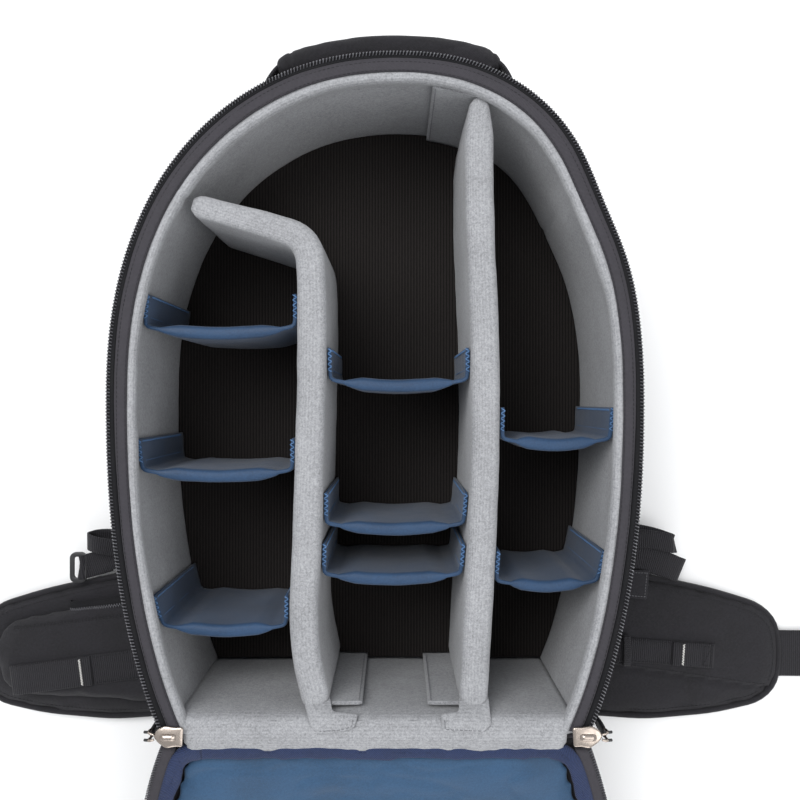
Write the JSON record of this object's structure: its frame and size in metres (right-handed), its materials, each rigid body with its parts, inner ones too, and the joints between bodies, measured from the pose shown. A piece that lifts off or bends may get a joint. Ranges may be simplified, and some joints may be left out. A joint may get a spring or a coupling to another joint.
{
  "type": "camera backpack",
  "caption": "Padded camera backpack lying on its harness with its zipped front panel folded open, over a compartment split by removable dividers.",
  "frame": {"origin": "on the outer face of the back pad, the face the bag lies on, on the bag's centre line", "axes": "+X to the right as seen looking into the open compartment, +Y to the bag's top and its grab handle, +Z out of the opening"},
  "size_m": [0.907, 0.8992, 0.1784],
  "materials": {
    "black_nylon": "woven coated nylon",
    "charcoal_binding": "smooth binding tape",
    "grey_lining": "brushed loop knit over foam",
    "blue_nylon": "plain woven nylon over foam",
    "ribbed_loop": "ribbed loop fabric",
    "black_mesh": "spacer mesh",
    "webbing": "ribbed webbing",
    "black_plastic": "moulded acetal",
    "nickel": "polished nickel plate",
    "aluminium_stay": "plain bar",
    "frame_plastic": "stiff sheet",
    "zipper_coil": "moulded coil"
  },
  "bodies": {
    "bag": {"back_shell": "black_nylon", "stay_left": "aluminium_stay", "stay_right": "aluminium_stay", "frame_sheet": "frame_plastic", "floor_lining": "ribbed_loop", "side_shell": "black_nylon", "bottom_shell": "black_nylon", "padded_wall_left": "grey_lining", "padded_wall_top": "grey_lining", "padded_wall_right": "grey_lining", "padded_wall_bottom": "grey_lining", "rim_binding": "charcoal_binding", "zipper_tape": "webbing", "zipper_chain": "zipper_coil", "side_pocket_left": "black_mesh", "side_pocket_right": "black_mesh", "back_pad": "black_mesh", "lumbar_pad": "black_mesh", "strap_yoke": "black_nylon", "lid_hinge_strip": "charcoal_binding"},
    "lid": {"lid_lining": "blue_nylon", "lid_shell": "black_nylon", "lid_binding": "charcoal_binding", "lid_zipper_chain": "zipper_coil", "lid_inner_pocket": "blue_nylon", "front_pocket": "black_nylon"},
    "front_pocket_slider": {"front_pocket_slider": "nickel"},
    "zipper_slider_left": {"zipper_slider_left": "nickel"},
    "zipper_slider_right": {"zipper_slider_right": "nickel"},
    "zipper_pull_left": {"zipper_pull_left": "black_plastic"},
    "zipper_pull_right": {"zipper_pull_right": "black_plastic"},
    "handle": {"handle_webbing": "webbing", "handle_sleeve": "black_nylon"},
    "shoulder_strap_left": {"shoulder_strap_left": "black_mesh"},
    "shoulder_strap_right": {"shoulder_strap_right": "black_mesh"},
    "strap_adjuster_left": {"strap_adjuster_left": "black_plastic"},
    "strap_adjuster_right": {"strap_adjuster_right": "black_plastic"},
    "strap_webbing_left": {"strap_webbing_left": "webbing", "strap_ring": "black_plastic"},
    "strap_webbing_right": {"strap_webbing_right": "webbing"},
    "belt_wing_left": {"belt_wing_left": "black_nylon", "belt_pocket": "black_nylon", "belt_strip_left": "webbing"},
    "belt_wing_right": {"belt_wing_right": "black_nylon", "belt_strip_right": "webbing"},
    "belt_pocket_slider": {"belt_pocket_slider": "nickel"},
    "belt_tail_left": {"belt_webbing_left": "webbing", "buckle_plug": "black_plastic"},
    "belt_tail_right": {"belt_webbing_right": "webbing", "buckle_socket": "black_plastic"},
    "long_divider_left": {"long_divider_left": "grey_lining"},
    "long_divider_right": {"long_divider_right": "grey_lining"},
    "divider_left_upper": {"divider_left_upper": "blue_nylon"},
    "divider_left_middle": {"divider_left_middle": "blue_nylon"},
    "divider_left_lower": {"divider_left_lower": "blue_nylon"},
    "divider_middle_upper": {"divider_middle_upper": "blue_nylon"},
    "divider_middle_middle": {"divider_middle_middle": "blue_nylon"},
    "divider_middle_lower": {"divider_middle_lower": "blue_nylon"},
    "divider_right_upper": {"divider_right_upper": "blue_nylon"},
    "divider_right_lower": {"divider_right_lower": "blue_nylon"}
  },
  "joints": [
    {"name": "lid_hinge", "type": "hinge", "parent": "bag", "child": "lid", "pos_m": [0, -0.222, 0.172], "axis": [1, 0, 0], "range_deg": [-199.7, 0]},
    {"name": "front_pocket_zip", "type": "slide", "parent": "lid", "child": "front_pocket_slider", "axis": [1, 0, 0], "range_m": [0, 0.16]},
    {"name": "zipper_left", "type": "slide", "parent": "bag", "child": "zipper_slider_left", "axis": [-0.3219, 0.9468, 0], "range_m": [0, 0.045]},
    {"name": "zipper_right", "type": "slide", "parent": "bag", "child": "zipper_slider_right", "axis": [0.3219, 0.9468, 0], "range_m": [0, 0.045]},
    {"name": "pull_left", "type": "hinge", "parent": "zipper_slider_left", "child": "zipper_pull_left", "pos_m": [-0.147, -0.219, 0.1735], "axis": [0, 1, 0], "range_deg": [0, 110]},
    {"name": "pull_right", "type": "hinge", "parent": "zipper_slider_right", "child": "zipper_pull_right", "pos_m": [0.151, -0.219, 0.1735], "axis": [0, 1, 0], "range_deg": [-110, 0]},
    {"name": "handle_tilt", "type": "hinge", "parent": "bag", "child": "handle", "pos_m": [0, 0.2, 0.122], "axis": [1, 0, 0], "range_deg": [-10, 10]},
    {"name": "strap_left", "type": "hinge", "parent": "bag", "child": "shoulder_strap_left", "pos_m": [-0.06, 0.156, 0.01375], "axis": [1, 0, 0], "range_deg": [0, 60]},
    {"name": "strap_right", "type": "hinge", "parent": "bag", "child": "shoulder_strap_right", "pos_m": [0.06, 0.156, 0.01375], "axis": [1, 0, 0], "range_deg": [0, 60]},
    {"name": "adjuster_left", "type": "hinge", "parent": "shoulder_strap_left", "child": "strap_adjuster_left", "pos_m": [-0.134, -0.094, 0.006], "axis": [1, 0, 0], "range_deg": [-35, 0]},
    {"name": "adjuster_right", "type": "hinge", "parent": "shoulder_strap_right", "child": "strap_adjuster_right", "pos_m": [0.134, -0.094, 0.006], "axis": [1, 0, 0], "range_deg": [-35, 0]},
    {"name": "webbing_left", "type": "hinge", "parent": "bag", "child": "strap_webbing_left", "pos_m": [-0.168, -0.125, 0.0172], "axis": [0, 1, 0], "range_deg": [0, 35]},
    {"name": "webbing_right", "type": "hinge", "parent": "bag", "child": "strap_webbing_right", "pos_m": [0.168, -0.125, 0.0172], "axis": [0, 1, 0], "range_deg": [-35, 0]},
    {"name": "belt_left", "type": "hinge", "parent": "bag", "child": "belt_wing_left", "pos_m": [-0.1135, -0.2, 0.00775], "axis": [0, 1, 0], "range_deg": [-100, 0]},
    {"name": "belt_right", "type": "hinge", "parent": "bag", "child": "belt_wing_right", "pos_m": [0.1135, -0.2, 0.00775], "axis": [0, 1, 0], "range_deg": [0, 100]},
    {"name": "belt_pocket_zip", "type": "slide", "parent": "belt_wing_left", "child": "belt_pocket_slider", "axis": [-0.993, -0.118, 0], "range_m": [0, 0.09]},
    {"name": "belt_tail_left", "type": "hinge", "parent": "belt_wing_left", "child": "belt_tail_left", "pos_m": [-0.3375, -0.211, 0.0062], "axis": [0, 1, 0], "range_deg": [-35, 35]},
    {"name": "belt_tail_right", "type": "hinge", "parent": "belt_wing_right", "child": "belt_tail_right", "pos_m": [0.3375, -0.211, 0.0062], "axis": [0, 1, 0], "range_deg": [-35, 35]},
    {"name": "long_divider_left_lift", "type": "slide", "parent": "bag", "child": "long_divider_left", "axis": [0, 0, 1], "range_m": [0, 0.17]},
    {"name": "long_divider_right_lift", "type": "slide", "parent": "bag", "child": "long_divider_right", "axis": [0, 0, 1], "range_m": [0, 0.17]},
    {"name": "divider_left_upper_lift", "type": "slide", "parent": "bag", "child": "divider_left_upper", "axis": [0, 0, 1], "range_m": [0, 0.17]},
    {"name": "divider_left_middle_lift", "type": "slide", "parent": "bag", "child": "divider_left_middle", "axis": [0, 0, 1], "range_m": [0, 0.17]},
    {"name": "divider_left_lower_lift", "type": "slide", "parent": "bag", "child": "divider_left_lower", "axis": [0, 0, 1], "range_m": [0, 0.17]},
    {"name": "divider_middle_upper_lift", "type": "slide", "parent": "bag", "child": "divider_middle_upper", "axis": [0, 0, 1], "range_m": [0, 0.17]},
    {"name": "divider_middle_middle_lift", "type": "slide", "parent": "bag", "child": "divider_middle_middle", "axis": [0, 0, 1], "range_m": [0, 0.17]},
    {"name": "divider_middle_lower_lift", "type": "slide", "parent": "bag", "child": "divider_middle_lower", "axis": [0, 0, 1], "range_m": [0, 0.17]},
    {"name": "divider_right_upper_lift", "type": "slide", "parent": "bag", "child": "divider_right_upper", "axis": [0, 0, 1], "range_m": [0, 0.17]},
    {"name": "divider_right_lower_lift", "type": "slide", "parent": "bag", "child": "divider_right_lower", "axis": [0, 0, 1], "range_m": [0, 0.17]}
  ]
}
